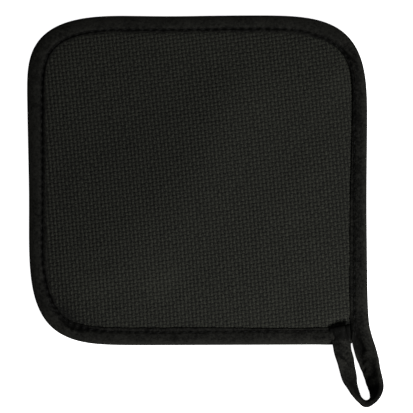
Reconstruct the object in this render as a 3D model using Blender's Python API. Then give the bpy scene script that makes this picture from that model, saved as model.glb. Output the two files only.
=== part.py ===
"""Square cloth pot holder: a padded panel, a folded tape bound round its edge, and the tape's free end, sewn
back on the front as a hanging loop. It lies face up. +Y runs to its top edge, +X to the side with the loop."""

import math

import bmesh
import bpy
from mathutils import Vector

MM = 0.001
GAP = 0.3 * MM  # between pieces that the sewing holds together

# The outline, at the outer fold of the binding, clockwise from the bottom edge. Each rounded corner is a
# superellipse quarter: half_x and half_y are how far from the centre its two sides lie, in mm, reach_x and
# reach_y how long it is along each of them, and power how square it is.
CORNERS = [
    {"side_x": -1, "side_y": -1, "half_x": 101.2, "half_y": 98.6, "reach_x": 74, "reach_y": 90, "power": 4.2},
    {"side_x": -1, "side_y": 1, "half_x": 101.9, "half_y": 98.6, "reach_x": 67, "reach_y": 47, "power": 3.2},
    {"side_x": 1, "side_y": 1, "half_x": 101.8, "half_y": 98.7, "reach_x": 73, "reach_y": 72, "power": 3.8},
]
LOOP_CORNER = (101.8 * MM, -98.2 * MM)  # the one square corner, where the binding runs on as the loop
WAIST = {"depth": 0.5 * MM, "y": -12 * MM, "length": 45 * MM}  # both upright sides are drawn in a little
CORNER_STEPS = 40
OUTLINE_POINTS = 420

# The binding, a double-fold tape: a round outer fold and two walls over the panel's edge
TAPE_WALL = 1.2 * MM
WEB_WALL = 1.0 * MM
BIND_SHOWS = 10.3 * MM
BIND_THICK = 5.2 * MM
BIND_CREST = {"inside": 4.2 * MM, "height": 0.15 * MM}
OUTER_FOLD = 1.8 * MM
SEAM = {"inside": 7.6 * MM, "depth": 0.35 * MM, "width": 2.0 * MM}
FREE_EDGE_ROUND = 0.3 * MM
BIND_STATIONS = 104
EDGE_WAVES = [
    {"waves": 9, "height": 0.22 * MM, "start": 0.4},
    {"waves": 23, "height": 0.14 * MM, "start": 2.1},
]
EDGE_WAVE_MOST = sum(wave["height"] for wave in EDGE_WAVES)

# Beside the loop the binding drifts off the panel's edge and flattens
DRIFT_OUT = 4.3 * MM
DRIFT_IN = 1.4 * MM
DRIFT_LENGTH = 9 * MM

# The panel: squeezed thin inside the binding, then crowned, with soft undulations from corner to corner
PAD_EDGE_THICK = 2.2 * MM
PAD_EDGE_ROUND = 0.5 * MM
PAD_CROWN = 6.4 * MM
PAD_RISE_LENGTH = 15 * MM
PAD_FOOT_SLOPE = 4 * MM
PANEL_POINTS = 104
PANEL_RINGS_IN_MM = [10.9, 12.2, 14.5, 18, 24]
PANEL_INNER_RINGS = 9
UNDULATIONS = [
    {"x": -16, "y": 3, "heading": 46, "length": 75, "width": 30, "height": 0.9},
    {"x": 70, "y": 28, "heading": 50, "length": 26, "width": 11, "height": -0.5},
    {"x": -24, "y": -58, "heading": 62, "length": 26, "width": 12, "height": 0.45},
    {"x": 68, "y": -62, "heading": 38, "length": 30, "width": 12, "height": -0.45},
    {"x": -62, "y": 20, "heading": 30, "length": 30, "width": 14, "height": -0.5},
    {"x": 10, "y": 66, "heading": 20, "length": 34, "width": 14, "height": -0.4},
]

# The hanging loop in mm, from its sewn end on the front, down, round the turn and up to the side binding.
# x, y and z are the strip's middle, and tilt is how far it is rolled from lying flat, its outer edge up.
LOOP_SECTIONS = [
    {"x": 85.1, "y": -86.0, "z": 7.2, "tilt": 0, "width": 13.6, "thick": 2.8},
    {"x": 85.6, "y": -90.7, "z": 7.1, "tilt": 3, "width": 12.9, "thick": 2.3},
    {"x": 86.7, "y": -98.5, "z": 9.1, "tilt": 29, "width": 12.8, "thick": 2.0},
    {"x": 88.8, "y": -108.1, "z": 8.0, "tilt": 43, "width": 12.8, "thick": 2.0},
    {"x": 90.9, "y": -117.7, "z": 6.9, "tilt": 51, "width": 12.8, "thick": 2.0},
    {"x": 92.5, "y": -122.5, "z": 6.8, "tilt": 61, "width": 12.8, "thick": 2.0},
    {"x": 94.8, "y": -127.4, "z": 6.8, "tilt": 73, "width": 12.8, "thick": 2.0},
    {"x": 97.8, "y": -131.4, "z": 6.8, "tilt": 81, "width": 12.8, "thick": 2.0},
    {"x": 101.2, "y": -133.7, "z": 6.8, "tilt": 79, "width": 12.8, "thick": 2.0},
    {"x": 105.0, "y": -132.1, "z": 6.7, "tilt": 79, "width": 12.8, "thick": 2.0},
    {"x": 106.9, "y": -127.6, "z": 6.2, "tilt": 62, "width": 12.8, "thick": 2.0},
    {"x": 106.6, "y": -122.5, "z": 5.5, "tilt": 46, "width": 12.8, "thick": 2.0},
    {"x": 104.1, "y": -112.9, "z": 4.6, "tilt": 31, "width": 12.8, "thick": 2.0},
    {"x": 101.5, "y": -104.0, "z": 3.2, "tilt": 10, "width": 12.8, "thick": 2.2},
    {"x": 99.7, "y": -98.5, "z": 2.6, "tilt": 0, "width": 13.0, "thick": 3.6},
]
LOOP_STEPS = 4  # lofted steps from each of those sections to the next
STRIP_SIDES = 12

# Cotton, dyed near black
PANEL_COLOUR = (0.016, 0.016, 0.014)
TAPE_COLOUR = (0.009, 0.009, 0.008)
SMOOTH_UP_TO = math.radians(50)


def new_collection():
    for old in list(bpy.data.objects):
        bpy.data.objects.remove(old, do_unlink=True)
    made = bpy.data.collections.new("pot_holder")
    bpy.context.scene.collection.children.link(made)
    return made


def cloth_material(name, colour, roughness):
    material = bpy.data.materials.new(name)
    material.use_nodes = True
    shader = material.node_tree.nodes["Principled BSDF"]
    shader.inputs["Base Color"].default_value = (*colour, 1)
    shader.inputs["Roughness"].default_value = roughness
    shader.inputs["Metallic"].default_value = 0
    return material


def add_object(name, rings, collection, material):
    mesh = bpy.data.meshes.new(name)
    shape = bmesh.new()
    loft(shape, rings)
    shape.to_mesh(mesh)
    shape.free()
    mesh.materials.append(material)
    mesh.shade_smooth()
    mesh.set_sharp_from_angle(angle=SMOOTH_UP_TO)
    made = bpy.data.objects.new(name, mesh)
    collection.objects.link(made)
    return made


def loft(shape, rings):
    """A closed skin over rings of the same number of points, each ring in order."""
    rows = [[shape.verts.new(point) for point in ring] for ring in rings]
    for lower, upper in zip(rows, rows[1:]):
        for index in range(len(lower)):
            after = (index + 1) % len(lower)
            shape.faces.new((lower[index], lower[after], upper[after], upper[index]))
    shape.faces.new(rows[0][::-1])
    shape.faces.new(rows[-1])
    bmesh.ops.recalc_face_normals(shape, faces=shape.faces)
    bmesh.ops.triangulate(shape, faces=[face for face in shape.faces if len(face.verts) > 4])


def smooth_step(value):
    value = min(max(value, 0), 1)
    return value * value * (3 - 2 * value)


def corner_points(corner):
    """A superellipse quarter, in the clockwise order of the outline."""
    across, up = corner["side_x"], corner["side_y"]
    points = []
    for step in range(CORNER_STEPS + 1):
        angle = math.radians(90) * step / CORNER_STEPS
        x = corner["half_x"] - corner["reach_x"] * (1 - math.sin(angle) ** (2 / corner["power"]))
        y = corner["half_y"] - corner["reach_y"] * (1 - math.cos(angle) ** (2 / corner["power"]))
        points.append(Vector((across * x * MM, up * y * MM)))
    # Each quarter was made from its top or bottom side to its left or right side
    return points if across == up else points[::-1]


def resampled(points, count, start=0.0):
    """That many points, evenly spaced along an open line of points, from start metres along it to its end."""
    lengths = [0.0]
    for before, after in zip(points, points[1:]):
        lengths.append(lengths[-1] + (after - before).length)
    made = []
    segment = 0
    for step in range(count):
        wanted = start + (lengths[-1] - start) * step / (count - 1)
        while segment < len(points) - 2 and lengths[segment + 1] < wanted:
            segment += 1
        share = (wanted - lengths[segment]) / (lengths[segment + 1] - lengths[segment])
        made.append(points[segment].lerp(points[segment + 1], min(share, 1)))
    return made


def outline_points():
    """The outline from the loop's corner round to it again, clockwise, evenly spaced."""
    points = [Vector(LOOP_CORNER)]
    for corner in CORNERS:
        points += corner_points(corner)
    points.append(Vector(LOOP_CORNER))
    points = resampled(points, OUTLINE_POINTS)
    for point in points:
        away = (point.y - WAIST["y"]) / WAIST["length"]
        point.x -= math.copysign(WAIST["depth"] * math.exp(-away * away), point.x)
    return points


def inward(before, after):
    """The unit vector to the inside of a line that runs clockwise from before to after."""
    along = (after - before).normalized()
    return Vector((along.y, -along.x))


def inset_ring(distance):
    """Points round the outline moved inwards, beginning at the loop's corner."""
    outline = outline_points()
    corner = Vector((LOOP_CORNER[0] - distance, LOOP_CORNER[1] + distance))
    moved = [corner]
    for before, point, after in zip(outline, outline[1:], outline[2:]):
        inner = point + inward(before, after) * distance
        if inner.x < corner.x and inner.y > corner.y:
            moved.append(inner)
    moved.append(corner)
    return resampled(moved, PANEL_POINTS + 1)[:-1]


def undulation(x, y):
    """The height of the soft ridges and troughs at a point of the panel's top."""
    total = 0
    for fold in UNDULATIONS:
        heading = math.radians(fold["heading"])
        away_x = x / MM - fold["x"]
        away_y = y / MM - fold["y"]
        along = (away_x * math.cos(heading) + away_y * math.sin(heading)) / fold["length"]
        across = (away_y * math.cos(heading) - away_x * math.sin(heading)) / fold["width"]
        total += fold["height"] * math.exp(-along * along - across * across)
    return total * MM


def panel_top(point, inside):
    """A point of the panel's top that lies inside metres in from the outline, at its height."""
    squeezed = TAPE_WALL + GAP + PAD_EDGE_THICK
    risen = max(inside - BIND_SHOWS - GAP, 0) / PAD_RISE_LENGTH
    crown = (PAD_CROWN - squeezed) * (1 - math.exp(-risen))
    height = squeezed + crown + undulation(point.x, point.y) * smooth_step(risen)
    return Vector((point.x, point.y, height))


def panel_rings():
    """From the rim of the flat underside, round the squeezed edge and over the crown to the middle."""
    low = TAPE_WALL + GAP
    high = low + PAD_EDGE_THICK
    edge = TAPE_WALL + GAP
    rows = [
        {"inside": BIND_SHOWS + GAP + PAD_FOOT_SLOPE, "height": 0},
        {"inside": BIND_SHOWS + GAP, "height": low},
        {"inside": edge + PAD_EDGE_ROUND, "height": low},
        {"inside": edge, "height": low + PAD_EDGE_ROUND},
        {"inside": edge, "height": high - PAD_EDGE_ROUND},
        {"inside": edge + PAD_EDGE_ROUND, "height": high},
        {"inside": BIND_SHOWS - GAP, "height": high},
    ]
    rings = [[(*point, row["height"]) for point in inset_ring(row["inside"])] for row in rows]
    for inside_mm in PANEL_RINGS_IN_MM:
        rings.append([panel_top(point, inside_mm * MM) for point in inset_ring(inside_mm * MM)])
    last_inside = PANEL_RINGS_IN_MM[-1] * MM
    half = abs(LOOP_CORNER[1])
    for step in range(PANEL_INNER_RINGS, 0, -1):
        share = step / (PANEL_INNER_RINGS + 1)
        inside = half - (half - last_inside) * share
        rings.append([panel_top(point * share, inside) for point in inset_ring(last_inside)])
    return rings


def binding_section(drift, wave):
    """The folded tape's section, as (distance in from the outline, height): from the lower wall's free edge,
    round the outer fold, to the upper wall's free edge, and back inside."""
    top = BIND_THICK
    half = top / 2
    shows = BIND_SHOWS + wave - DRIFT_IN * drift
    fold_reach = OUTER_FOLD + DRIFT_OUT * drift
    points = [(shows, FREE_EDGE_ROUND), (shows - FREE_EDGE_ROUND, 0)]
    for degrees in range(-90, 91, 30):
        angle = math.radians(degrees)
        points.append((OUTER_FOLD - fold_reach * math.cos(angle), half + half * math.sin(angle)))
    points += [
        (BIND_CREST["inside"], top + BIND_CREST["height"]),
        (SEAM["inside"] - SEAM["width"] / 2, top),
        (SEAM["inside"] + wave, top - SEAM["depth"]),
        (SEAM["inside"] + SEAM["width"] / 2, top),
        (shows - FREE_EDGE_ROUND, top),
        (shows, top - FREE_EDGE_ROUND),
        (shows, top - TAPE_WALL),
        (OUTER_FOLD, top - TAPE_WALL),
        (WEB_WALL, half + TAPE_WALL / 2),
        (WEB_WALL, half - TAPE_WALL / 2),
        (OUTER_FOLD, TAPE_WALL),
        (shows, TAPE_WALL),
    ]
    return points


def binding_rings():
    """From beside the loop's corner along the bottom edge, up, over and down to that corner."""
    path = resampled(outline_points(), BIND_STATIONS, start=BIND_SHOWS + EDGE_WAVE_MOST + GAP)
    rings = []
    for index, point in enumerate(path):
        side = inward(path[max(index - 1, 0)], path[min(index + 1, len(path) - 1)])
        around = 2 * math.pi * index / (len(path) - 1)
        wave = sum(row["height"] * math.sin(row["waves"] * around + row["start"]) for row in EDGE_WAVES)
        from_end = (path[-1] - point).length if index > len(path) / 2 else math.inf
        section = binding_section(math.exp(-from_end / DRIFT_LENGTH), wave)
        rings.append([(*(point + side * inside), height) for inside, height in section])
    return rings


def between(before, start, end, after, share):
    """A value on the smooth curve through four values, between the middle two."""
    return 0.5 * (
        2 * start
        + (end - before) * share
        + (2 * before - 5 * start + 4 * end - after) * share**2
        + (3 * start - before - 3 * end + after) * share**3
    )


def loop_stations():
    """The loop's sections with the smooth ones between them."""
    rows = LOOP_SECTIONS
    made = []
    for index in range(len(rows) - 1):
        near = [rows[max(index - 1, 0)], rows[index], rows[index + 1], rows[min(index + 2, len(rows) - 1)]]
        for step in range(LOOP_STEPS):
            made.append({key: between(*(row[key] for row in near), step / LOOP_STEPS) for key in rows[0]})
    made.append(dict(rows[-1]))
    return made


def strip_section(width, thick):
    """A flat strip's section with round edges, as (across, up)."""
    points = []
    reach = (width - thick) / 2
    for step in range(STRIP_SIDES):
        angle = 2 * math.pi * (step + 0.5) / STRIP_SIDES
        across = math.cos(angle) * thick / 2
        points.append((across + math.copysign(reach, across), math.sin(angle) * thick / 2))
    return points


def loop_rings():
    stations = loop_stations()
    centres = [Vector((row["x"], row["y"], row["z"])) for row in stations]
    last = len(stations) - 1
    rings = []
    for index, row in enumerate(stations):
        along = (centres[min(index + 1, last)] - centres[max(index - 1, 0)]).normalized()
        # Its last section lies square against the end of the side binding
        squared = smooth_step(1 - (last - index) / LOOP_STEPS)
        along = along.lerp(Vector((0, 1, 0)), squared)
        outward = Vector((along.y, -along.x, 0)).normalized()
        tilt = math.radians(row["tilt"])
        across = outward * math.cos(tilt) + Vector((0, 0, math.sin(tilt)))
        up = Vector((0, 0, math.cos(tilt))) - outward * math.sin(tilt)
        ring = [centres[index] + across * a + up * b for a, b in strip_section(row["width"], row["thick"])]
        rings.append([point * MM for point in ring])
    return rings


def main():
    collection = new_collection()
    panel_cloth = cloth_material("woven_cotton", PANEL_COLOUR, roughness=0.9)
    tape_cloth = cloth_material("cotton_tape", TAPE_COLOUR, roughness=0.85)
    add_object("panel", panel_rings(), collection, panel_cloth)
    add_object("binding", binding_rings(), collection, tape_cloth)
    add_object("hanging_loop", loop_rings(), collection, tape_cloth)


main()
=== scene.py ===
import math

import bmesh
import bpy
import numpy as np
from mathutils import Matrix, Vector, kdtree, noise


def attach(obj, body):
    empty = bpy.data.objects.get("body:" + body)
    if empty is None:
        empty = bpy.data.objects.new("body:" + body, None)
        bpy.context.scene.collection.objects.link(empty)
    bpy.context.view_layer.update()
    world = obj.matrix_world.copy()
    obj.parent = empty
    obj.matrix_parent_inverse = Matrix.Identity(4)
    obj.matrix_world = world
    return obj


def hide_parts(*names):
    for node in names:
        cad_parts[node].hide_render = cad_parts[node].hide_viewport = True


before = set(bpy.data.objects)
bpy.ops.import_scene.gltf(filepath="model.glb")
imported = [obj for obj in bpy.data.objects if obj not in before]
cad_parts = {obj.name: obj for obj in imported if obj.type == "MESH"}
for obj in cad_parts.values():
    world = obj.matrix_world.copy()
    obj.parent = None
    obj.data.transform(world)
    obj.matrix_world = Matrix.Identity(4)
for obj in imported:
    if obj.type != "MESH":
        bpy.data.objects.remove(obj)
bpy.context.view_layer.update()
mm = 0.001
print("frame loaded")

# the outline at the binding's outer fold, clockwise from the loop's corner round to it again (mm)
outline = {
    # side x, side y, half width, half height, reach along x, reach along y, squareness
    "corners": [
        (-1, -1, 101.2, 98.6, 74, 90, 4.2),
        (-1, 1, 101.9, 98.6, 67, 47, 3.2),
        (1, 1, 101.8, 98.7, 73, 72, 3.8),
    ],
    "cornerPoints": 60,
    "loopCorner": (101.8, -98.2),
    "waistDepth": 0.5,  # both sides draw in a little near their middle
    "waistY": -12,
    "waistLength": 45,
    "topDip": 0.45,  # the top edge dips a little left of its middle
    "topDipX": -16,
    "topDipLength": 26,
    "topAbove": 90,
    "step": 0.5,
}


def walk(points, spacing, start=0.0):  # evenly spaced rows on an open line, from that far along it
    points = np.asarray(points, float)
    steps = np.linalg.norm(np.diff(points[:, :3], axis=0), axis=1)
    length = np.concatenate([[0], np.cumsum(steps)])
    count = max(int(round((length[-1] - start) / spacing)), 1) + 1
    at = np.linspace(start, length[-1], count)
    return np.stack([np.interp(at, length, column) for column in points.T], axis=1)


def cornerLine(sideX, sideY, halfX, halfY, reachX, reachY, power):
    angle = np.linspace(0, math.pi / 2, outline["cornerPoints"])
    x = halfX - reachX * (1 - np.sin(angle) ** (2 / power))
    y = halfY - reachY * (1 - np.cos(angle) ** (2 / power))
    line = np.stack([sideX * x, sideY * y], axis=1)
    return line if sideX == sideY else line[::-1]


def outlineLine():
    corner = np.array([outline["loopCorner"]], float)
    line = np.concatenate([corner] + [cornerLine(*row) for row in outline["corners"]] + [corner])
    line = walk(line, outline["step"])
    away = (line[:, 1] - outline["waistY"]) / outline["waistLength"]
    line[:, 0] -= np.copysign(outline["waistDepth"] * np.exp(-away * away), line[:, 0])
    away = (line[:, 0] - outline["topDipX"]) / outline["topDipLength"]
    line[:, 1] -= np.where(line[:, 1] > outline["topAbove"], outline["topDip"] * np.exp(-away * away), 0)
    return line


rim = outlineLine()
rimAlong = np.roll(rim, -1, axis=0) - np.roll(rim, 1, axis=0)
rimAlong[0], rimAlong[-1] = (-1, -1), (-1, -1)  # at the square corner, midway between its two sides
rimInward = np.stack([rimAlong[:, 1], -rimAlong[:, 0]], axis=1)
rimInward /= np.linalg.norm(rimInward, axis=1)[:, None]
rimTree = kdtree.KDTree(len(rim))
for index, (x, y) in enumerate(rim):
    rimTree.insert((x, y, 0), index)
rimTree.balance()


def insideOf(x, y):  # how far in from the outline, less than 0 outside it
    point, index, distance = rimTree.find((x, y, 0))
    ahead = (x - point.x) * rimInward[index, 0] + (y - point.y) * rimInward[index, 1]
    return distance if ahead > 0 else -distance


def onInset(x, y, distance):  # the nearest point of the outline, moved in by that distance
    point, index, _ = rimTree.find((x, y, 0))
    return point.x + rimInward[index, 0] * distance, point.y + rimInward[index, 1] * distance


def smoothStep(value):
    value = np.clip(value, 0, 1)
    return value * value * (3 - 2 * value)


# a sum of soft ridges and hollows, from rows of x, y, heading in degrees, half length, half width, height
def softForms(table, x, y):
    total = np.zeros(np.broadcast(x, y).shape)
    for formX, formY, heading, length, width, height in table:
        turn = math.radians(heading)
        along = ((x - formX) * math.cos(turn) + (y - formY) * math.sin(turn)) / length
        across = ((y - formY) * math.cos(turn) - (x - formX) * math.sin(turn)) / width
        total += height * np.exp(-along * along - across * across)
    return total


# a sum of smooth noise, from rows of height, pace along and across, and where in the noise it is read
def ripples(table, along, across=0):
    return sum(height * noise.noise((along * pace, start + across * paceAcross, layer))
               for height, pace, paceAcross, start, layer in table)


def pointsOf(mesh):
    flat = np.empty(len(mesh.vertices) * 3)
    mesh.vertices.foreach_get("co", flat)
    return flat.reshape(-1, 3)


def deselectAll():
    if bpy.context.object and bpy.context.object.mode != "OBJECT":
        bpy.ops.object.mode_set(mode="OBJECT")
    bpy.ops.object.select_all(action="DESELECT")


def activate(piece):
    deselectAll()
    piece.select_set(True)
    bpy.context.view_layer.objects.active = piece


def selectBorder():
    bpy.ops.mesh.select_non_manifold(extend=False, use_wire=False, use_multi_face=False,
                                     use_non_contiguous=False, use_verts=False)


# coarse plain-woven cotton over a filling, squeezed thin where the binding holds it (mm)
panel = {
    "yarnSpacing": 2.25,
    "yarns": 98,
    "columnLines": (0, 0.25, 0.5, 0.75),  # the mesh's lines within one yarn spacing, across the columns
    "rowLines": (0, 0.27, 0.73),
    "rowSlope": 0.1315,  # the rows of the weave rise to the right
    "rowBow": 0.0000875,
    "columnLean": -0.083,  # its columns lean to the left at the top
    "columnBow": -0.000122,
    # how the yarns stray, slowly and quickly: how far, pace along the yarn, then how far apart in the noise
    # two yarns and the two families are, and the noise's layer
    "wander": [
        (0.12, 0.11, 3.7, 90, 4.1),
        (0.17, 0.55, 5.3, 50, 9.7),
    ],
    "wanderSteps": 4,
    "warpRise": 0.42,  # how high a float stands, and how far it falls to its sides
    "warpRound": 0.42,
    "weftRise": 0.4,
    "weftRound": 0.31,
    "weftDrop": 0.02,
    "floatEnds": 3,  # how flat a float runs before it dives
    "floatSides": 1.2,
    "unevenness": 0.08,
    "floatTilt": 0.1,
    "mostUneven": 2,
    "seed": 11,
    "flatShare": 0.25,  # of its relief the weave keeps this much where the binding flattens it
    "flatTo": 9.0,
    "flatReach": 4,
    "edgeIn": 1.9,  # the panel's own edge, in from the outline, and its lower and upper side there
    "edgeLow": 1.45,
    "edgeHigh": 2.7,
    "edgeRound": 0.3,
    "trimSpare": 0.3,
    "weld": 0.05,
    "lipHeight": 3.55,  # its height beside the binding's inner fold
    "lipFrom": 8.3,
    "lipReach": 2,
    "lipIn": 10.3,
    "crown": 4.7,
    "riseLength": 10,
    "footIn": 14.6,  # the underside lies on the table from here in
    "pressCorner": (77, -79),  # the loop's sewn end presses the pad down beyond here
    "pressReach": 7,
    "pressShare": 0.4,
    "ribsBelow": -58,  # lower down, the weave's columns stand out more than its rows
    "ribsReach": 28,
    "ribsDrop": 0.08,
    # soft folds of the filled cloth: x, y, heading in degrees, half length, half width, height
    "folds": [
        (-44, -36, 34, 34, 24, 1.9),
        (4, 14, 66, 44, 24, 2.1),
        (70, 28, 50, 26, 11, -0.5),
        (-26, -64, 40, 16, 8, 0.45),
        (-52, -58, 30, 14, 8, 0.35),
        (64, 6, 60, 12, 8, 0.4),
        (84, 62, 60, 12, 8, 0.4),
        (68, -66, 38, 24, 12, -0.5),
        (60, -28, 20, 16, 9, -0.35),
        (-62, 24, 30, 30, 14, -0.5),
        (6, 66, 20, 22, 12, -0.5),
    ],
    # painted light and shade of lit forms and shadows: x, y, heading, half length, half width, change of
    # shade
    "paintedLightAndShade": [
        (-46, 18, 20, 42, 32, -0.08),
        (-78, -84, -30, 20, 12, -0.26),
        (-79, -81, -40, 7, 4, -0.3),
        (-78, 4, 90, 26, 8, -0.06),
        (64, -72, 90, 12, 9, -0.08),
        (-4, 85, 0, 60, 9, 0.11),
        (86, -24, 90, 42, 8, -0.07),
        (38, 48, 35, 26, 16, 0.07),
        (-22, -60, 30, 15, 9, 0.18),
        (-63, -66, 40, 12, 7, 0.1),
        (86, 60, 60, 14, 8, 0.08),
        (-70, 72, 30, 18, 12, 0.06),
        (20, -30, 0, 60, 40, -0.02),
        (90.5, -85.4, 0, 2.6, 1.2, -0.6),
    ],
}


def pressed(x, y):
    cornerX, cornerY = panel["pressCorner"]
    reach = panel["pressReach"]
    return panel["pressShare"] * smoothStep((x - cornerX) / reach) * smoothStep((cornerY - y) / reach)


def padHeight(x, y, inside):
    atLip = smoothStep((inside - panel["lipFrom"]) / panel["lipReach"])
    underLip = panel["edgeHigh"] + (panel["lipHeight"] - panel["edgeHigh"]) * atLip
    risen = np.clip((inside - panel["lipIn"]) / panel["riseLength"], 0, None)
    crown = (panel["crown"] - panel["lipHeight"]) * (1 - np.exp(-risen))
    return (underLip + crown + softForms(panel["folds"], x, y) * smoothStep(risen)) * (1 - pressed(x, y))


def wanderTable(family):  # how far each yarn strays sideways, at steps along it
    count, steps = panel["yarns"], panel["wanderSteps"]
    table = np.zeros((count + 1, count * steps + 1))
    for far, pace, apart, away, layer in panel["wander"]:
        for yarn in range(count + 1):
            lane = yarn * apart + family * away
            for step in range(count * steps + 1):
                table[yarn, step] += far * noise.noise((lane, step / steps * pace, layer))
    return table


def strayed(table, own, other):  # between two yarns, the two are mixed
    low = np.clip(np.floor(own - 0.5).astype(int), 0, panel["yarns"] - 1)
    share = np.clip(own - 0.5 - low, 0, 1)
    step = np.rint(other * panel["wanderSteps"]).astype(int)
    return table[low, step] * (1 - share) + table[low + 1, step] * share


def weaveRelief(u, v, y):  # over one, under one; u and v count yarns
    count, most = panel["yarns"] + 1, panel["mostUneven"]
    random = np.random.default_rng(panel["seed"])
    crest = 1 + panel["unevenness"] * random.standard_normal((count, count)).clip(-most, most)
    tiltU, tiltV = panel["floatTilt"] * random.standard_normal((2, count, count)).clip(-most, most)
    i, j = np.floor(u).astype(int), np.floor(v).astype(int)
    over = np.where((i + j) % 2 == 0, 1, -1)
    fromU, fromV = 2 * (u - i) - 1, 2 * (v - j) - 1  # 0 on the middle of a yarn, -1 and 1 in the gaps
    ribs = smoothStep((panel["ribsBelow"] - y) / panel["ribsReach"])
    ends, sides = panel["floatEnds"], panel["floatSides"]
    warp = panel["warpRise"] * (1 - np.abs(fromV) ** ends) * over * crest[i, j]
    warp -= panel["warpRound"] * np.abs(fromU) ** sides
    weft = panel["weftRise"] * (1 - np.abs(fromU) ** ends) * -over * crest[i, j]
    weft -= panel["weftRound"] * np.abs(fromV) ** sides + panel["weftDrop"] + panel["ribsDrop"] * ribs
    lean = (tiltU[i, j] * fromU + tiltV[i, j] * fromV) * (1 - fromU**2) * (1 - fromV**2)
    return np.maximum(warp, weft) + lean


def onLines(value, lines):  # moves evenly spaced lines to their places within each yarn
    step = np.rint(value * len(lines)).astype(int)
    return step // len(lines) + np.array(lines)[step % len(lines)]


# counts the yarns across a flat grid, also in its UV map, where whole numbers are the gaps
def setSquare(piece, count, columnLines=(0,), rowLines=(0,)):
    mesh = piece.data
    u, v = (pointsOf(mesh)[:, :2].T + 1) / 2 * count
    u, v = onLines(u, columnLines), onLines(v, rowLines)
    corner = np.empty(len(mesh.loops), int)
    mesh.loops.foreach_get("vertex_index", corner)
    mesh.uv_layers[0].name = "yarnCount"
    mesh.uv_layers[0].data.foreach_set("uv", np.stack([u, v], axis=1)[corner].ravel())
    return u, v


def leaning(u, v):  # from a square grid to the weave's own lean and bow
    return (u + panel["columnLean"] * v + panel["columnBow"] * v * v,
            v + panel["rowSlope"] * u + panel["rowBow"] * u * u)


def wovenGrid():
    count, spacing = panel["yarns"], panel["yarnSpacing"]
    columns, rows = panel["columnLines"], panel["rowLines"]
    bpy.ops.mesh.primitive_grid_add(x_subdivisions=count * len(columns), y_subdivisions=count * len(rows),
                                    size=2, calc_uvs=True)
    piece = bpy.context.object
    u, v = setSquare(piece, count, columns, rows)
    x, y = leaning((u - count / 2) * spacing + strayed(wanderTable(0), u, v),
                   (v - count / 2) * spacing + strayed(wanderTable(1), v, u))
    inside = np.array([insideOf(*point) for point in zip(x, y)])
    flat = panel["flatShare"]
    free = flat + (1 - flat) * smoothStep((inside - panel["flatTo"]) / panel["flatReach"])
    z = padHeight(x, y, inside) + weaveRelief(u, v, y) * free
    piece.data.vertices.foreach_set("co", (np.stack([x, y, z], axis=1) * mm).ravel())
    piece.data.update()
    return piece


def trimGrid(piece, height):  # cuts a grid to the panel's edge, which the binding hides
    mesh = piece.data
    outside = [insideOf(x, y) < panel["edgeIn"] + panel["trimSpare"] for x, y, _ in pointsOf(mesh) / mm]
    activate(piece)
    mesh.vertices.foreach_set("select", outside)
    mesh.edges.foreach_set("select", [False] * len(mesh.edges))
    mesh.polygons.foreach_set("select", [False] * len(mesh.polygons))
    bpy.ops.object.mode_set(mode="EDIT")
    bpy.ops.mesh.select_mode(type="VERT")
    bpy.ops.mesh.delete(type="VERT")
    selectBorder()
    bpy.ops.mesh.extrude_region_move()
    shape = bmesh.from_edit_mesh(mesh)
    for point in shape.verts:
        if point.select:
            x, y = onInset(point.co.x / mm, point.co.y / mm, panel["edgeIn"])
            point.co = (x * mm, y * mm, height * (1 - float(pressed(x, y))) * mm)
    bmesh.update_edit_mesh(mesh)
    bpy.ops.mesh.remove_doubles(threshold=panel["weld"] * mm)


def flatUnderside():  # it lies flat, and rises to the binding
    count = panel["yarns"]
    bpy.ops.mesh.primitive_grid_add(x_subdivisions=count, y_subdivisions=count, size=2, calc_uvs=True)
    piece = bpy.context.object
    u, v = setSquare(piece, count)
    x, y = leaning((u - count / 2) * panel["yarnSpacing"], (v - count / 2) * panel["yarnSpacing"])
    inside = np.array([insideOf(*point) for point in zip(x, y)])
    free = smoothStep((inside - panel["lipIn"]) / (panel["footIn"] - panel["lipIn"]))
    z = panel["edgeLow"] * (1 - free)
    piece.data.vertices.foreach_set("co", (np.stack([x, y, z], axis=1) * mm).ravel())
    return piece


def makePanel():
    top = wovenGrid()
    trimGrid(top, panel["edgeHigh"] - panel["edgeRound"])
    bpy.ops.object.mode_set(mode="OBJECT")
    under = flatUnderside()
    trimGrid(under, panel["edgeLow"])
    bpy.ops.mesh.select_all(action="SELECT")
    bpy.ops.mesh.flip_normals()
    bpy.ops.object.mode_set(mode="OBJECT")
    activate(top)
    under.select_set(True)
    bpy.ops.object.join()
    bpy.ops.object.mode_set(mode="EDIT")
    bpy.ops.mesh.select_mode(type="EDGE")
    selectBorder()
    bpy.ops.mesh.bridge_edge_loops()
    bpy.ops.object.mode_set(mode="OBJECT")
    bpy.ops.object.shade_smooth()
    top.name = "padded_panel"
    x, y, _ = pointsOf(top.data).T / mm
    # painted light and shade for the panel's colour, lighter or darker by the table above
    paintedLightAndShade = top.data.attributes.new("paintedLightAndShade", "FLOAT", "POINT")
    paintedLightAndShade.data.foreach_set("value", softForms(panel["paintedLightAndShade"], x, y))
    return top


panelPiece = makePanel()
print("panel woven:", len(panelPiece.data.vertices), "points")

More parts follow.
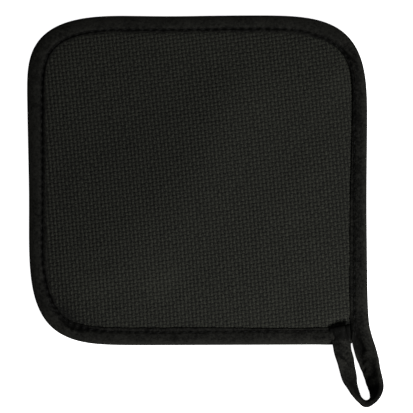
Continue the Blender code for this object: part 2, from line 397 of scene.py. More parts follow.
# one cotton tape, folded in four: round the panel as its binding, and on as the loop (mm)
tape = {
    "cloth": 0.5,
    "layer": 0.55,  # between the middles of two layers that lie together
    "step": 1.04,  # from section to section
    "proud": 0.35,  # the outer fold stands this far past the outline
    "start": 8.6,  # the hidden start, on from the loop's corner and tucked in
    "startIn": 1.0,
    "startReach": 3.5,
    "driftOut": 4.3,  # the end of the binding swings out into the loop, and widens
    "driftIn": 1.4,
    "driftLength": 9,
    "joinRounds": 6,
    "joinReach": 9,
    "joinBlend": 3,
    "pressShare": 0.4,  # the loop's sewn end presses the binding down
    "pressFrom": 13,
    "pressTo": 21,
    "lowLayer": 0.25,  # height of the lower layers' middle
    "onPanel": 4.25,  # from there up to the upper ones, round the panel's edge
    "crown": 0.9,
    "loopCrown": 0.2,
    "curve": 0.02,
    "roundTo": 4.2,
    "roundCurve": 0.075,
    "foldReach": 1.6,
    # the section's points: angles round an inner fold and the outer one, counts on the hidden layers and the
    # bulge, shares of the lip inside the seam and of the groove's half width, mm from the seam underneath
    "innerTurns": (-45, 0, 45),
    "outerTurns": (62, 36, 12, -12, -36, -62),
    "outerRadius": 1.6,
    "outerShare": 0.42,
    "outerFlat": 0.85,
    "rawEdge": 2.4,
    "hiddenPoints": (5, 3),
    "bulgePoints": 9,
    "lipPlaces": (1.0, 0.82, 0.64, 0.46, 0.3),
    "leastLip": 0.9,
    "groovePlaces": (0.25, 0, -0.3, -0.6, -0.85, -1.1, -1.4, -1.8),
    "underPlaces": (-1.3, -0.5, 0.3, 1.0),
    "heel": 1.5,
    "underPull": 0.3,  # the seam pulls the underside up
    "underReach": 0.8,
    "lipDrop": 0.7,  # the lip inside the seam lies lower
    "lipLength": 0.9,
    "bulgeSide": 1.1,
    "deepest": 0.7,  # creases and puckers stop at the panel
    "stitch": 5.2,
    "holeShare": 0.35,  # the groove is deepest at the needle's holes
    "holeLimit": 1.1,
    "pucker": 0.12,
    "puckerAway": 1.6,
    "puckerWidth": 1.3,
    "puckersIn": 1,
    "puckersReach": 2,
    "creasesFrom": -6,
    "loopSteps": 12,
    "edgeWave": 0.28,
    # smooth noise for the inner edge, the seam, the puckers' slant and the rumpled cloth: height, pace along
    # and across the tape, and where in the noise it is read
    "edgeRipples": [(1, 0.05, 0, 3.3, 0), (0.8, 0.21, 0, 7.1, 0)],
    "seamRipples": [(0.2, 0.09, 0, 1.2, 5)],
    "slantRipples": [(3.3, 0.07, 0, 2, 2)],
    "rumples": [(1, 0.16, 0.22, 0, 1.7), (0.7, 0.42, 0.35, 0, 5.2), (0.45, 0.9, 0.8, 0, 8.1)],
    "rumpleFrom": 0.6,
    "rumpleRise": 1.6,
    "rumpleEnd": 1.2,
    # changes of shade, more being darker; lip, seam, hole and crease shade are painted shade where shadow
    # falls
    "outerFoldLighter": 1.2,  # the outer fold is coloured lighter
    "outerFoldLighterReach": 2.2,
    "lipShade": 0.5,
    "lipShadeReach": 0.8,
    "seamShade": 1.5,
    "seamShadeReach": 0.85,
    "holeShade": 0.5,
    "creaseShade": 1.5,
    "endShade": 2.2,
    "endShadeFrom": 81.5,
    "endShadeReach": 3,
    # painted shade over stretches of the loop, one row taking back the outer fold's lightening:
    # mm from its corner, mm from its outer fold, heading, half length, half width, change of shade
    "paintedLoopShade": [
        (14.0, 5.0, 0, 6.0, 3.0, 0.4),
        (31.0, 6.0, 0, 8.0, 30.0, 2.0),
        (56.0, 6.0, 0, 9.0, 30.0, 0.7),
        (50.0, 0.0, 0, 45.0, 3.2, 1.1),
        (80.0, 12.5, 0, 8.0, 1.8, 1.6),
    ],
    # how the binding changes on its way round: clock angle from the loop's corner, width that shows,
    # seam's distance from the outer fold, depth and half width of its groove, roughness, tilt, painted shade
    "around": [
        (0, 10.0, 7.9, 0.4, 0.7, 0.14, 0.9, 0.15),
        (21, 9.7, 7.8, 0.4, 0.7, 0.14, 0.9, 0.15),
        (47, 10.3, 7.4, 0.4, 0.7, 0.14, 0.9, 0.15),
        (73, 10.0, 7.6, 0.6, 0.85, 0.16, 0.8, 0.0),
        (81, 10.0, 8.2, 1.3, 1.1, 0.16, 0.5, 0.0),
        (86, 9.6, 8.0, 1.7, 1.3, 0.2, 0.2, 0.0),
        (89, 9.7, 8.2, 1.8, 1.3, 0.24, 0.0, 0.0),
        (92, 10.0, 8.7, 1.5, 1.1, 0.24, 0.0, 0.0),
        (97, 10.1, 8.1, 1.2, 0.9, 0.2, -0.3, 0.0),
        (103, 10.1, 7.7, 1.1, 0.7, 0.16, -0.6, 0.0),
        (109, 10.2, 7.1, 1.05, 0.65, 0.15, -0.8, 0.0),
        (135, 10.1, 7.55, 1.05, 0.6, 0.14, -0.8, 0.0),
        (160, 10.8, 8.3, 1.2, 0.7, 0.15, -0.7, 0.0),
        (171, 10.8, 9.0, 1.4, 0.9, 0.18, -0.4, 0.0),
        (178, 10.7, 9.1, 1.4, 0.9, 0.18, 0.0, 0.0),
        (185, 10.2, 8.5, 1.3, 0.85, 0.16, 0.2, 0.0),
        (197, 9.8, 7.9, 0.9, 0.6, 0.14, 0.3, 0.0),
        (222, 9.7, 7.6, 0.95, 0.6, 0.14, 0.3, 0.0),
        (249, 9.9, 7.5, 0.95, 0.6, 0.14, 0.3, 0.0),
        (258, 10.1, 7.7, 0.9, 0.6, 0.16, 0.3, 0.0),
        (264, 10.6, 8.7, 0.9, 0.65, 0.2, 0.3, 0.0),
        (269, 10.1, 8.6, 0.9, 0.7, 0.26, 0.4, 0.0),
        (273, 9.3, 7.9, 1.0, 0.9, 0.3, 0.5, 0.0),
        (277, 8.4, 7.1, 0.8, 0.7, 0.22, 0.7, 0.25),
        (282, 7.5, 6.6, 0.45, 0.6, 0.16, 0.9, 0.4),
        (290, 8.4, 7.3, 0.4, 0.6, 0.14, 1.1, 0.4),
        (315, 9.6, 7.4, 0.4, 0.65, 0.14, 1.2, 0.4),
        (340, 10.2, 7.5, 0.4, 0.7, 0.14, 1.2, 0.4),
        (352, 10.5, 7.8, 0.5, 0.8, 0.15, 1.0, 0.25),
        (360, 10.5, 7.9, 0.7, 0.9, 0.16, 0.7, 0.15),
    ],
    # the loop, from the corner round to its sewn end: x, y, z, roll in degrees, width, thickness,
    # skew in degrees, depth and half width of the seam's groove
    "loop": [
        (99.7, -98.5, 2.9, 0, 13.8, 4.6, 0, 0.9, 1.2),
        (101.8, -104.0, 3.5, 12, 13.2, 3.6, 0, 0.5, 1.1),
        (104.2, -112.9, 4.7, 32, 12.2, 2.8, 0, 0.15, 0.8),
        (106.9, -122.5, 5.7, 46, 11.8, 3.8, 0, 0.15, 0.7),
        (107.0, -127.4, 6.3, 65, 11.6, 3.7, 0, 0.1, 0.7),
        (105.2, -131.7, 6.7, 86, 12.8, 3.3, 0, 0.1, 0.7),
        (101.1, -134.0, 6.8, 92, 12.8, 4.2, 0, 0.1, 0.7),
        (97.6, -131.7, 6.8, 88, 12.8, 3.2, 0, 0.1, 0.7),
        (94.7, -127.4, 6.8, 75, 12.8, 2.5, 0, 0.1, 0.7),
        (92.6, -122.5, 6.8, 63, 12.8, 2.2, 0, 0.1, 0.7),
        (91.0, -117.7, 6.9, 48, 12.7, 2.2, 0, 0.1, 0.7),
        (88.8, -108.1, 7.0, 41, 12.8, 2.2, 0, 0.15, 0.7),
        (87.2, -102.6, 6.4, 30, 11.8, 2.1, 0, 0.2, 0.7),
        (86.6, -98.0, 5.4, 13, 11.2, 2.0, 1, 0.2, 0.7),
        (85.9, -93.5, 5.0, -4, 12.2, 2.0, 5, 0.2, 0.7),
        (85.6, -90.0, 5.4, -8, 12.6, 2.1, 8, 0.1, 0.7),
        (85.5, -88.6, 5.6, -9, 12.6, 2.2, 8, 0.0, 0.7),
        (85.5, -87.9, 5.4, -9, 12.5, 2.0, 8, 0.0, 0.7),
        (85.5, -87.5, 5.0, -9, 12.4, 1.6, 8, 0.0, 0.7),
    ],
    "loopSeamIn": 2.7,
    "loopRough": 0.16,
    # puckers at two corners of the binding: x, y, heading in degrees, half length, half width, height
    "puckers": [
        (-86.5, -75.6, -10, 3.0, 0.7, -1.0),
        (-84.5, -79.0, -14, 3.6, 0.7, -1.0),
        (-82.6, -81.2, 8, 4.0, 0.6, 0.3),
        (-80.9, -83.6, -30, 3.2, 0.9, -1.6),
        (-77.0, -87.2, -25, 4.5, 1.2, -1.2),
        (-71.0, -89.4, -12, 4.5, 1.0, -0.9),
        (-74.5, -90.6, 40, 1.6, 0.5, 0.5),
        (-90.5, -68.0, -35, 3.5, 0.8, -0.7),
        (-92.0, -60.5, -25, 2.6, 0.8, -0.5),
        (91.0, 74.5, -44, 5.0, 0.8, -1.2),
        (87.0, 78.0, -50, 2.6, 1.2, -1.0),
        (89.8, 80.2, 30, 2.2, 0.5, 0.5),
        (94.0, 76.0, -35, 3.6, 0.9, -0.6),
        (92.3, -90.0, 90, 7.0, 0.7, -1.5),
        (96.9, -94.0, 98, 6.0, 1.7, -1.1),
        (-88.0, 73.0, 45, 4.0, 0.8, -0.7),
        (-80.5, 81.5, 35, 3.0, 0.8, -0.6),
    ],
    # creases across and along the loop: mm from its corner, mm from its outer fold, heading in degrees
    # (0 along the tape), half length, half width, height
    "creases": [
        (-3.0, 13.6, 0, 5.0, 0.8, -1.5),
        (1.5, 9.0, 6, 5.5, 2.5, -2.0),
        (-2.0, 10.6, 0, 3.4, 1.6, -1.2),
        (1.5, 5.0, 0, 6.0, 1.6, 0.5),
        (5.6, 7.5, 83, 3.4, 0.9, 0.8),
        (9.5, 8.5, 72, 3.0, 0.9, -0.5),
        (12.0, 9.5, 60, 2.5, 0.7, 0.6),
        (14.5, 10.0, 50, 2.2, 0.7, -0.6),
        (17.0, 10.2, 65, 2.0, 0.7, 0.5),
        (19.0, 6.5, 80, 3.5, 1.2, -0.5),
        (22.5, 7.0, 75, 5.0, 1.5, 0.5),
        (15.5, 4.0, 0, 5.0, 1.7, -0.45),
        (52.0, 6.2, 8, 6.5, 1.7, -0.7),
        (61.0, 3.5, 70, 3.0, 1.3, 0.4),
        (66.0, 9.0, -60, 3.0, 1.1, -0.4),
        (69.5, 4.4, -48, 4.0, 1.1, 0.5),
        (71.7, 3.9, -44, 4.4, 1.2, -1.2),
        (73.6, 8.2, 40, 1.9, 0.7, -0.8),
        (75.2, 8.6, -50, 1.7, 0.6, 0.6),
        (77.0, 8.4, 60, 1.8, 0.6, -0.8),
        (80.5, 3.0, 30, 2.2, 1.0, -0.4),
        (83.0, 8.8, 85, 2.4, 0.9, -0.6),
        (86.0, 5.0, 60, 2.6, 1.1, -0.5),
        (85.5, 1.6, 0, 5.0, 0.8, -0.6),
        (85.8, 9.3, 3, 4.0, 0.8, -1.1),
    ],
}
tapeColumns = ("width", "spread", "crown", "seam", "dip", "groove", "rough", "tilt", "dark", "loopAlong")


# a row describes one section: its outer fold, the way in from there and the way up, then the columns above
def placeOf(row):
    return Vector(row[0:3]), Vector(row[3:6]).normalized(), Vector(row[6:9]).normalized()


def shapeOf(row):
    return dict(zip(tapeColumns, row[9:]))


def smoothRows(rows, steps):  # Catmull-Rom through rows of numbers
    rows = np.asarray(rows, float)
    padded = np.concatenate([rows[:1], rows, rows[-1:]])
    made = []
    for before, start, end, after in zip(padded, padded[1:], padded[2:], padded[3:]):
        for step in range(steps):
            t = step / steps
            bend = 2 * before - 5 * start + 4 * end - after
            swing = 3 * start - before - 3 * end + after
            made.append(0.5 * (2 * start + (end - before) * t + bend * t**2 + swing * t**3))
    made.append(rows[-1])
    return np.array(made)


def aroundAt(x, y):
    table = np.array(tape["around"], float)
    clock = (-45 - math.degrees(math.atan2(y, x))) % 360
    return [np.interp(clock, table[:, 0], column) for column in table.T[1:]]


def panelStations():
    line = walk(rim, tape["step"], tape["start"])
    gone = np.arange(len(line)) * tape["step"]
    rows = []
    for index, (x, y) in enumerate(line):
        before, after = line[max(index - 2, 0)], line[min(index + 2, len(line) - 1)]
        along = Vector(after - before).normalized()
        inward = Vector((along.y, -along.x, 0))
        drift = math.exp(-(gone[-1] - gone[index]) / tape["driftLength"])
        startIn = tape["startIn"] * math.exp(-gone[index] / tape["startReach"])
        base = Vector((x, y, 0)) + inward * (startIn - tape["proud"] - tape["driftOut"] * drift)
        # dark: painted shade for this stretch of the binding
        shows, seam, dip, groove, rough, tilt, dark = aroundAt(x, y)
        width = shows + tape["proud"] - startIn + (tape["driftOut"] - tape["driftIn"]) * drift
        seam += tape["proud"] - startIn + (tape["driftOut"] - tape["driftIn"]) * drift
        freely = (gone[index] + tape["start"] - tape["pressFrom"]) / (tape["pressTo"] - tape["pressFrom"])
        spread = tape["onPanel"] * (1 - tape["pressShare"] * (1 - smoothStep(freely)))
        rows.append([*base, *inward, 0, 0, 1, width, spread, tape["crown"], seam, dip, groove, rough, tilt,
                     dark, gone[index] - gone[-1]])
    return rows


def loopStations():
    line = walk(smoothRows(tape["loop"], tape["loopSteps"]), tape["step"])
    rows = []
    for index, (x, y, z, roll, width, thick, skew, dip, groove) in enumerate(line):
        before, after = line[max(index - 1, 0)], line[min(index + 1, len(line) - 1)]
        along = Vector((after - before)[:3]).normalized()
        outward = Vector((-along.y, along.x, 0)).normalized()
        normal = along.cross(outward)
        turn = math.radians(roll)
        across = outward * math.cos(turn) + normal * math.sin(turn)
        up = normal * math.cos(turn) - outward * math.sin(turn)
        across = across * math.cos(math.radians(skew)) - along * math.sin(math.radians(skew))
        base = Vector((x, y, z)) + across * width / 2 - up * thick / 2
        rows.append([*base, *-across, *up, width, thick - tape["cloth"], tape["loopCrown"],
                     width - tape["loopSeamIn"], dip, groove, tape["loopRough"], 0, 0, index * tape["step"]])
    return rows


def joinedStations(onPanel, inLoop):  # the layers close up gradually where the tape leaves the panel
    rows = np.array(onPanel + inLoop[1:])
    low, high = len(onPanel) - tape["joinReach"], len(onPanel) + tape["joinReach"]
    shifts = [shift for shift in range(-tape["joinBlend"], tape["joinBlend"] + 1) if shift]
    for _ in range(tape["joinRounds"]):
        smoothed = rows.copy()
        for shift in shifts:
            smoothed[low:high] += rows[low + shift:high + shift]
        smoothed[low:high] /= len(shifts) + 1
        rows = smoothed
    return rows


def seamAt(shape, place):
    return shape["seam"] + ripples(tape["seamRipples"], place)


def grooveDepth(dip, place, holeShare):
    phase = 2 * math.pi * place / tape["stitch"]
    return dip + holeShare * min(dip, tape["holeLimit"]) * math.cos(phase)


def tapeTop(row, place, u):  # height of the tape's upper face, u in from the outer fold
    shape = shapeOf(row)
    width, seam = shape["width"], seamAt(shape, place)
    onBulge = min(u, seam) - (tape["foldReach"] + seam) / 2
    rounded = tape["curve"] * onBulge**2 + tape["roundCurve"] * max(tape["roundTo"] - u, 0) ** 2
    top = tape["lowLayer"] + shape["spread"] + shape["crown"] * (1 - rounded)
    top -= tape["lipDrop"] * shape["crown"] * smoothStep((u - seam) / tape["lipLength"])
    top += shape["tilt"] * (0.5 - u / width)
    away = seam - u
    reach = shape["groove"] * (tape["bulgeSide"] if away > 0 else 1)
    top -= grooveDepth(shape["dip"], place, tape["holeShare"]) * math.exp(-(away / reach) ** 2)
    wave = math.cos(2 * math.pi * place / tape["stitch"] + away * ripples(tape["slantRipples"], place))
    beside = math.exp(-((abs(away) - tape["puckerAway"]) / tape["puckerWidth"]) ** 2)
    top -= tape["pucker"] * shape["dip"] * wave * beside
    free = smoothStep((u - tape["rumpleFrom"]) / tape["rumpleRise"])
    free *= smoothStep((width - u) / tape["rumpleEnd"])
    return top + shape["rough"] * ripples(tape["rumples"], place, u) * free


def crumpled(row, u):  # how far creases and puckers move the tape, u in from its outer fold
    loopAlong = shapeOf(row)["loopAlong"]
    if loopAlong > tape["creasesFrom"]:
        return softForms(tape["creases"], loopAlong, u)
    onFace = smoothStep((u - tape["puckersIn"]) / tape["puckersReach"])
    return softForms(tape["puckers"], row[0] + row[3] * u, row[1] + row[4] * u) * onFace


def moved(row, u, height):  # creases and puckers move the upper layers, and stop at the panel
    low, spread = tape["lowLayer"], shapeOf(row)["spread"]
    share = np.clip((height - low) / spread, 0, 1)
    change = crumpled(row, u) * share
    return np.where(share > 0.5, np.maximum(height + change, low + spread * tape["deepest"]), height), change


# the folded tape's line, from its hidden upper edge round to its hidden lower one
def tapeLine(row, place):
    shape = shapeOf(row)
    low, layer, seam = tape["lowLayer"], tape["layer"], shape["seam"]
    width = shape["width"] + tape["edgeWave"] * ripples(tape["edgeRipples"], place)
    foldIn = width - tape["cloth"] / 2 - layer / 2
    turns = np.radians(tape["innerTurns"])
    fold = [(math.cos(turn) * layer / 2, math.sin(turn) * layer / 2) for turn in turns]
    outerFold = min(tape["outerRadius"], shape["spread"] * tape["outerShare"])
    upperCount, lowerCount = tape["hiddenPoints"]

    line = [(u, tapeTop(row, place, u) - layer) for u in np.linspace(tape["rawEdge"], foldIn, upperCount)]
    middle = tapeTop(row, place, foldIn) - layer / 2
    line += [(foldIn + u, middle + v) for u, v in fold]
    lip = max(foldIn - seam, tape["leastLip"])
    across = [seam + lip * share for share in tape["lipPlaces"]]
    across += [seam + shape["groove"] * share for share in tape["groovePlaces"]]
    across += list(np.linspace(across[-1], outerFold, tape["bulgePoints"])[1:])
    line += [(u, tapeTop(row, place, u)) for u in across]
    high = tapeTop(row, place, outerFold)
    for turn in np.radians(tape["outerTurns"]):
        u = outerFold - math.cos(turn) * outerFold * tape["outerFlat"]
        line.append((u, (low + high) / 2 + math.sin(turn) * (high - low) / 2))
    under = [outerFold, outerFold + tape["heel"], *(seam + away for away in tape["underPlaces"]), foldIn]
    for u in under:
        line.append((u, low + tape["underPull"] * math.exp(-abs((u - seam) / tape["underReach"]) ** 3)))
    line += [(foldIn + u, low + layer / 2 + v) for u, v in fold]
    line += [(u, low + layer) for u in np.linspace(foldIn, tape["rawEdge"], lowerCount)]
    return np.array(line)


def tapeShade(row, place, u, change, onTop):
    shape = shapeOf(row)
    fromSeam, lipReach = u - shape["seam"], tape["lipShadeReach"]
    # painted shade on the lip inside the seam, in the seam's groove and its needle holes, and in crease
    # hollows
    shade = tape["lipShade"] * shape["dip"] ** 2 * smoothStep((fromSeam + lipReach) / lipReach)
    nearSeam = np.exp(-(fromSeam / tape["seamShadeReach"]) ** 2)
    depth = grooveDepth(shape["dip"], place, tape["holeShade"])
    shade += tape["seamShade"] * min(shape["dip"], 1) * depth * nearSeam
    shade = onTop * (shade * shape["crown"] / tape["crown"] + tape["creaseShade"] * np.clip(-change, 0, 1))
    # the right side's painted shade, a darker sewn end, painted shade over the loop, and a lighter outer fold
    fromEnd = (shape["loopAlong"] - tape["endShadeFrom"]) / tape["endShadeReach"]
    shade += shape["dark"] + tape["endShade"] * smoothStep(fromEnd)
    shade += softForms(tape["paintedLoopShade"], shape["loopAlong"], u)
    shade -= tape["outerFoldLighter"] * np.exp(-(u / tape["outerFoldLighterReach"]) ** 2)
    return shade


def tapeSection(row, place):  # the creased line, and how dark each of its points is: painted shade, a lighter outer fold, a darker sewn end
    line = tapeLine(row, place)
    onTop = line[:, 1] > tape["lowLayer"] + shapeOf(row)["spread"] / 2
    line[:, 1], change = moved(row, line[:, 0], line[:, 1])
    return line, tapeShade(row, place, line[:, 0], change, onTop)


def twoSides(line):  # the cloth's two faces, half its thickness either side of a line
    along = np.gradient(line, axis=0)
    along /= np.maximum(np.linalg.norm(along, axis=1), 1e-6)[:, None]
    out = np.stack([along[:, 1], -along[:, 0]], axis=1) * tape["cloth"] / 2
    return line + out, line - out


def addRings(shape, rings, uv, across, onward):  # closed rings of points joined into a tube
    made = [[shape.verts.new(point) for point in ring] for ring in rings]
    count = len(rings[0])
    for station, (ring, following) in enumerate(zip(made, made[1:])):
        for index in range(count):
            after = (index + 1) % count
            face = shape.faces.new((ring[index], following[index], following[after], ring[after]))
            places = ((index, station), (index, station + 1), (index + 1, station + 1), (index + 1, station))
            for corner, (sideways, ahead) in zip(face.loops, places):
                corner[uv].uv = (across[sideways], onward * ahead)
    return made


def smoothPiece(shape, name):  # a finished mesh as a piece of its own
    bmesh.ops.recalc_face_normals(shape, faces=shape.faces)
    mesh = bpy.data.meshes.new(name)
    shape.to_mesh(mesh)
    shape.free()
    mesh.shade_smooth()
    piece = bpy.data.objects.new(name, mesh)
    bpy.context.scene.collection.objects.link(piece)
    return piece


def makeTape(rows):
    rings, shades = [], []
    for index, row in enumerate(rows):
        base, inward, up = placeOf(row)
        line, shade = tapeSection(row, index * tape["step"])
        outer, inner = twoSides(line)
        rings.append([(base + inward * u + up * v) * mm for u, v in np.concatenate([outer, inner[::-1]])])
        shades.append(np.concatenate([shade, shade[::-1]]))
    typical = rings[len(rings) // 2]
    steps = np.diff(np.array(typical + typical[:1]) / mm, axis=0)
    across = np.concatenate([[0], np.cumsum(np.linalg.norm(steps, axis=1))])
    shape = bmesh.new()
    uv = shape.loops.layers.uv.new("tapeGrain")  # it counts millimetres across and along the tape
    # painted shade for the tape's colour, with its lighter outer fold and darker sewn end
    inSeam = shape.verts.layers.float.new("seamShade")
    made = addRings(shape, rings, uv, across, tape["step"])
    for ring, shade in zip(made, shades):
        for point, value in zip(ring, shade):
            point[inSeam] = value
    half = len(rings[0]) // 2
    for ring, turned in ((made[0], 1), (made[-1], -1)):
        for index in range(half - 1):
            shape.faces.new((ring[index], ring[index + 1], ring[-index - 2], ring[-index - 1])[::turned])
    return smoothPiece(shape, "bound_tape")


onPanelRows = panelStations()
tapeRows = joinedStations(onPanelRows, loopStations())
tapePiece = makeTape(tapeRows)
print("tape folded:", len(tapePiece.data.vertices), "points")

# lockstitch in a thick polyester thread: one stitch to each pitch, sunk at both ends (mm)
thread = {
    "radius": 0.27,
    "pinch": 0.45,  # the share of its radius left at a stitch's ends
    "sides": 6,
    "rings": 7,
    "leaning": (0.13, 0.21, 0.97),  # nearly upright, and along no stitch
    "gap": 0.45,
    "lift": -0.05,
    "sink": 0.55,
    "loopSink": 0.15,
    "endClear": 16,
    # the sewn end of the loop: two rows up the tape and one across it, mm from the tape's end and outer fold
    "boxRows": [((13.5, 1.4), (3.2, 1.2)), ((13.0, 10.6), (3.2, 10.9)), ((3.0, 2.0), (3.0, 10.2))],
    "boxStitch": 3.2,
    "boxGap": 0.1,
}


def tapePoint(place, u, lift):  # a point over the tape's upper face
    at = place / tape["step"]
    low = int(min(max(at, 0), len(tapeRows) - 2))
    row = tapeRows[low] * (low + 1 - at) + tapeRows[low + 1] * (at - low)
    base, inward, up = placeOf(row)
    height, _ = moved(row, u, tapeTop(row, place, u))
    return base + inward * u + up * (float(height) + tape["cloth"] / 2 + lift)


def addThread(shape, points):  # a short round thread through these points, pinched at both ends
    rings = []
    for index, point in enumerate(points):
        along = (points[min(index + 1, len(points) - 1)] - points[max(index - 1, 0)]).normalized()
        sideways = along.cross(Vector(thread["leaning"])).normalized()
        above = sideways.cross(along)
        radius = thread["radius"] * (thread["pinch"] if index in (0, len(points) - 1) else 1)
        turns = [2 * math.pi * side / thread["sides"] for side in range(thread["sides"])]
        rings.append([(point + (sideways * math.cos(t) + above * math.sin(t)) * radius) * mm for t in turns])
    across = np.arange(thread["sides"] + 1) / thread["sides"]
    made = addRings(shape, rings, shape.loops.layers.uv.verify(), across, 1 / len(points))
    shape.faces.new(made[0][::-1])
    shape.faces.new(made[-1])


def stitchPoints(start, end):  # from (place, u) to (place, u), sunk at both ends
    inLoop = start[0] > len(onPanelRows) * tape["step"]
    points = []
    for share in np.linspace(0, 1, thread["rings"]):
        lift = thread["lift"] + thread["sink"] * (math.sin(math.pi * share) ** 0.5 - 1)
        lift -= thread["loopSink"] * inLoop
        place, u = (low + (high - low) * share for low, high in zip(start, end))
        points.append(tapePoint(place, u, lift))
    return points


def makeStitches():
    shape = bmesh.new()
    length = (len(tapeRows) - 1) * tape["step"]
    for index in range(1, int((length - thread["endClear"]) / tape["stitch"])):
        ends = []
        for place in (index * tape["stitch"] + thread["gap"], (index + 1) * tape["stitch"] - thread["gap"]):
            row = tapeRows[int(place / tape["step"])]
            ends.append((place, seamAt(shapeOf(row), place)))
        addThread(shape, stitchPoints(*ends))
    for start, end in thread["boxRows"]:
        start, end = np.array((length - start[0], start[1])), np.array((length - end[0], end[1]))
        count = max(int(round(np.linalg.norm(end - start) / thread["boxStitch"])), 1)
        for index in range(count):
            first, last = index + thread["boxGap"], index + 1 - thread["boxGap"]
            addThread(shape, stitchPoints(start + (end - start) * first / count,
                                          start + (end - start) * last / count))
    return smoothPiece(shape, "seam_stitches")


stitchPiece = makeStitches()
print("seams sewn:", len(stitchPiece.data.polygons), "faces")


def linear(code):  # an sRGB hex colour as Blender's linear one
    parts = [int(code[k:k + 2], 16) / 255 for k in (1, 3, 5)]
    return (*[part / 12.92 if part <= 0.04045 else ((part + 0.055) / 1.055) ** 2.4 for part in parts], 1)


def addNode(tree, kind, settings=None, links=None):  # links: each input's source, a node or its socket
    node = tree.nodes.new("ShaderNode" + kind)
    for name, value in (settings or {}).items():
        if isinstance(name, int) or name in node.inputs:
            node.inputs[name].default_value = value
        else:
            setattr(node, name, value)
    for name, source in (links or {}).items():
        tree.links.new(getattr(source, "outputs", [source])[0], node.inputs[name])
    return node


def newMaterial(name, look):
    material = bpy.data.materials.new(name)
    material.use_nodes = True
    shader = material.node_tree.nodes["Principled BSDF"]
    shader.inputs["Roughness"].default_value = look["roughness"]
    shader.inputs["Specular IOR Level"].default_value = look["specular"]
    return material, material.node_tree, shader


def paint(piece, material):
    piece.data.materials.clear()
    piece.data.materials.append(material)


# colour from dark to light by a level, and a fine relief
def colourAndRelief(tree, shader, look, level, relief):
    ramp = addNode(tree, "ValToRGB", None, {"Fac": level})
    for element, name in zip(ramp.color_ramp.elements, ("dark", "light")):
        element.position = look[name + "At"]
        element.color = linear(look[name])
    bump = addNode(tree, "Bump", {"Strength": look["relief"], "Distance": look["reliefDepth"] * mm},
                   {"Height": relief})
    tree.links.new(ramp.outputs[0], shader.inputs["Base Color"])
    tree.links.new(bump.outputs[0], shader.inputs["Normal"])


# coarse plain-woven cotton, reactive dyed: matt, with painted light on each float and painted shade in the
# gaps
def wovenCotton():
    look = {
        "dark": "#0c0c0b",
        "darkAt": 0,
        "light": "#2d2e28",
        "lightAt": 1,
        "roughness": 0.85,
        "specular": 0.1,
        "paintedCrestLight": (0.92, 0.76, 0),  # painted light on a float of the warp and of the weft
        "floatShare": 0.06,
        "fibre": 0.8333,  # mm, clumps of fibre in a yarn
        "fibreShare": 2.5,
        "fuzz": 2.381,  # mm, loose fibre over a yarn and its neighbours
        "fuzzShare": 0.1,
        "lowered": 1.48,
        "relief": 0.6,
        "reliefDepth": 0.3,
    }
    material, tree, shader = newMaterial("wovenCottonBlack", look)
    counted = addNode(tree, "UVMap", {"uv_map": "yarnCount"})
    place = addNode(tree, "TexCoord").outputs["Object"]

    # painted shade and light: 0 in a gap to 1 on the middle of whichever yarn lies on top
    turned = addNode(tree, "VectorMath", {"operation": "MULTIPLY", 1: (math.pi, math.pi, 0)}, {0: counted})
    wave = addNode(tree, "VectorMath", {"operation": "SINE"}, {0: turned})
    ridged = addNode(tree, "VectorMath", {"operation": "ABSOLUTE"}, {0: wave})
    weighed = addNode(tree, "VectorMath", {"operation": "MULTIPLY", 1: look["paintedCrestLight"]}, {0: ridged})
    parts = addNode(tree, "SeparateXYZ", None, {0: weighed})
    whole = addNode(tree, "VectorMath", {"operation": "FLOOR"}, {0: counted})
    cell = addNode(tree, "SeparateXYZ", None, {0: whole})
    both = addNode(tree, "Math", {"operation": "ADD"}, {0: cell.outputs[0], 1: cell.outputs[1]})
    isWeft = addNode(tree, "Math", {"operation": "MODULO", 1: 2}, {0: both})
    toWeft = addNode(tree, "Math", {"operation": "SUBTRACT"}, {0: parts.outputs[1], 1: parts.outputs[0]})
    across = addNode(tree, "Math", {"operation": "MULTIPLY_ADD"}, {0: toWeft, 1: isWeft, 2: parts})

    # then the painted light and shade, uneven floats, fibres and fuzz
    paintedLightAndShade = addNode(tree, "Attribute", {"attribute_name": "paintedLightAndShade"}).outputs["Fac"]
    level = addNode(tree, "Math", {"operation": "ADD"}, {0: across, 1: paintedLightAndShade})
    perFloat = addNode(tree, "TexWhiteNoise", {"noise_dimensions": "2D"}, {"Vector": whole})
    fibre = addNode(tree, "TexNoise", {"Scale": 1 / (look["fibre"] * mm), "Detail": 2, "Roughness": 0.7},
                    {"Vector": place})
    fuzz = addNode(tree, "TexNoise", {"Scale": 1 / (look["fuzz"] * mm), "Detail": 2, "Roughness": 0.6},
                   {"Vector": place})
    for source, share in ((perFloat, "floatShare"), (fibre, "fibreShare"), (fuzz, "fuzzShare")):
        level = addNode(tree, "Math", {"operation": "MULTIPLY_ADD", 1: look[share]}, {0: source, 2: level})
    lowered = addNode(tree, "Math", {"operation": "SUBTRACT", 1: look["lowered"]}, {0: level})
    colourAndRelief(tree, shader, look, lowered, fibre)
    return material
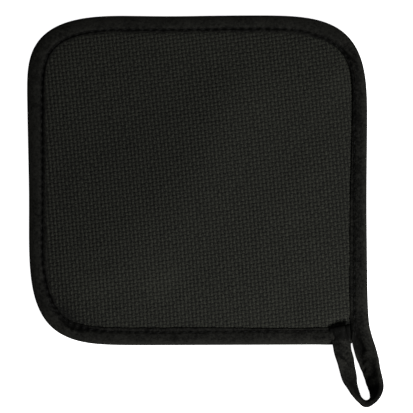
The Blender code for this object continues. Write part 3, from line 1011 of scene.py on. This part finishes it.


# close-woven cotton tape: smoother than the panel, mottled, with a fine weave and lighter outer folds
def cottonTape():
    look = {
        "dark": "#060605",
        "darkAt": 0.475,
        "light": "#20201d",
        "lightAt": 0.775,
        "roughness": 0.75,
        "specular": 0.05,
        "mottle": 1.25,  # mm, worn specks
        "patches": 9.091,  # mm, wider patches of wear
        "patchShare": 0.25,
        "seamShare": -0.14,
        "threadPitch": 0.5,
        "threadShare": 0.15,
        "relief": 0.5,
        "reliefDepth": 0.25,
    }
    material, tree, shader = newMaterial("cottonTapeBlack", look)
    place = addNode(tree, "TexCoord").outputs["Object"]
    grain = addNode(tree, "UVMap", {"uv_map": "tapeGrain"})
    mottle = addNode(tree, "TexNoise", {"Scale": 1 / (look["mottle"] * mm), "Detail": 4, "Roughness": 0.75},
                     {"Vector": place})
    patches = addNode(tree, "TexNoise", {"Scale": 1 / (look["patches"] * mm), "Detail": 2}, {"Vector": place})
    # painted shade from the tape's points, with its lighter outer fold and darker sewn end
    inSeam = addNode(tree, "Attribute", {"attribute_name": "seamShade"}).outputs["Fac"]
    level = mottle
    for source, share in ((patches, "patchShare"), (inSeam, "seamShare")):
        level = addNode(tree, "Math", {"operation": "MULTIPLY_ADD", 1: look[share]}, {0: source, 2: level})

    # threads of the tape, drawn at twice their real pitch so that they show
    turned = math.pi / look["threadPitch"]
    scaled = addNode(tree, "VectorMath", {"operation": "MULTIPLY", 1: (turned, turned, 0)}, {0: grain})
    waves = addNode(tree, "VectorMath", {"operation": "SINE"}, {0: scaled})
    sines = addNode(tree, "SeparateXYZ", None, {0: waves})
    weave = addNode(tree, "Math", {"operation": "MULTIPLY"}, {0: sines.outputs[0], 1: sines.outputs[1]})
    relief = addNode(tree, "Math", {"operation": "MULTIPLY_ADD", 1: look["threadShare"]},
                     {0: weave, 2: mottle})
    colourAndRelief(tree, shader, look, level, relief)
    return material


# spun polyester thread: a little shinier than the cloth, its two plies twisted, with painted shade between
# plies
def sewingThread():
    look = {
        "dark": "#050505",
        "darkAt": 0,
        "light": "#0c0c0b",
        "lightAt": 1,
        "roughness": 0.6,
        "specular": 0.1,
        "twist": 0.4488,  # mm from ply to ply
        "unevenness": 1.5,
        "relief": 0.4,
        "reliefDepth": 0.1,
    }
    material, tree, shader = newMaterial("polyesterThreadBlack", look)
    place = addNode(tree, "TexCoord").outputs["Object"]
    scale = math.pi / 10 / (look["twist"] * mm)  # this texture's waves are a tenth of pi long
    twist = addNode(tree, "TexWave", {"Scale": scale, "Distortion": look["unevenness"]}, {"Vector": place})
    # painted shade: the colour darkens with the twist's relief, in the grooves between the plies
    colourAndRelief(tree, shader, look, twist.outputs["Fac"], twist.outputs["Fac"])
    return material


paint(panelPiece, wovenCotton())
paint(tapePiece, cottonTape())
paint(stitchPiece, sewingThread())

# floor, light and camera, in metres
studio = {
    "floorSize": 4.0,
    "floorDrop": 0.0005,
    "floor": {"roughness": 0.8, "specular": 0.5},
    "floorColour": "#f4f4f4",
    "floorGlow": 1.0,
    "world": 0.14,
    "backdrop": 0.95,  # the world as the camera sees it, from the sides
    # azimuth, elevation, distance, size and watts
    "key": (-42, 38, 0.75, 0.25, 7.7),
}
deselectAll()
bpy.ops.mesh.primitive_plane_add(size=studio["floorSize"], location=(0, 0, -studio["floorDrop"]))
floor = bpy.context.object
floor.name = "floor"
floorMaterial, _, shader = newMaterial("whiteFloor", studio["floor"])
shader.inputs["Base Color"].default_value = linear(studio["floorColour"])
shader.inputs["Emission Color"].default_value = (1, 1, 1, 1)
shader.inputs["Emission Strength"].default_value = studio["floorGlow"]
paint(floor, floorMaterial)
floor.visible_diffuse = False
floor.visible_glossy = False

world = bpy.data.worlds.new("studio")
bpy.context.scene.world = world
world.use_nodes = True
fill = world.node_tree.nodes["Background"]
fill.inputs["Color"].default_value = (1, 1, 1, 1)
fill.inputs["Strength"].default_value = studio["world"]
backdrop = addNode(world.node_tree, "Background", {"Color": (1, 1, 1, 1), "Strength": studio["backdrop"]})
seen = addNode(world.node_tree, "LightPath").outputs["Is Camera Ray"]
shown = addNode(world.node_tree, "MixShader", None, {0: seen, 1: fill, 2: backdrop})
world.node_tree.links.new(shown.outputs[0], world.node_tree.nodes["World Output"].inputs["Surface"])


def areaLight(name, azimuth, elevation, distance, size, watts):
    turn, rise = math.radians(azimuth), math.radians(elevation)
    towards = (math.cos(turn) * math.cos(rise), math.sin(turn) * math.cos(rise), math.sin(rise))
    place = Vector(towards) * distance
    data = bpy.data.lights.new(name, "AREA")
    data.shape, data.size, data.energy = "DISK", size, watts
    light = bpy.data.objects.new(name, data)
    bpy.context.scene.collection.objects.link(light)
    light.location = place
    light.rotation_mode = "QUATERNION"
    light.rotation_quaternion = place.to_track_quat("Z", "Y")


areaLight("softKey", *studio["key"])

cameraData = bpy.data.cameras.new("camera")
camera = bpy.data.objects.new("camera", cameraData)
bpy.context.scene.collection.objects.link(camera)
bpy.context.scene.camera = camera
# looks straight down (mm)
view = {
    "centre": (5.49, -15.66, 3.0),
    "away": 2500,
    "pixels": 413,
    "pixelSize": 0.6,
    "sensor": 36,
    "clip": (0.1, 20),  # metres
}
cameraData.sensor_width = view["sensor"]
cameraData.lens = view["sensor"] * view["away"] / (view["pixels"] * view["pixelSize"])
camera.location = Vector(view["centre"]) * mm + Vector((0, 0, view["away"] * mm))
cameraData.clip_start, cameraData.clip_end = view["clip"]
bpy.context.scene.view_settings.view_transform = "Standard"

for piece in (panelPiece, tapePiece, stitchPiece):
    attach(piece, "root")
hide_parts("panel")
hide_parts("binding", "hanging_loop")

print("ready")
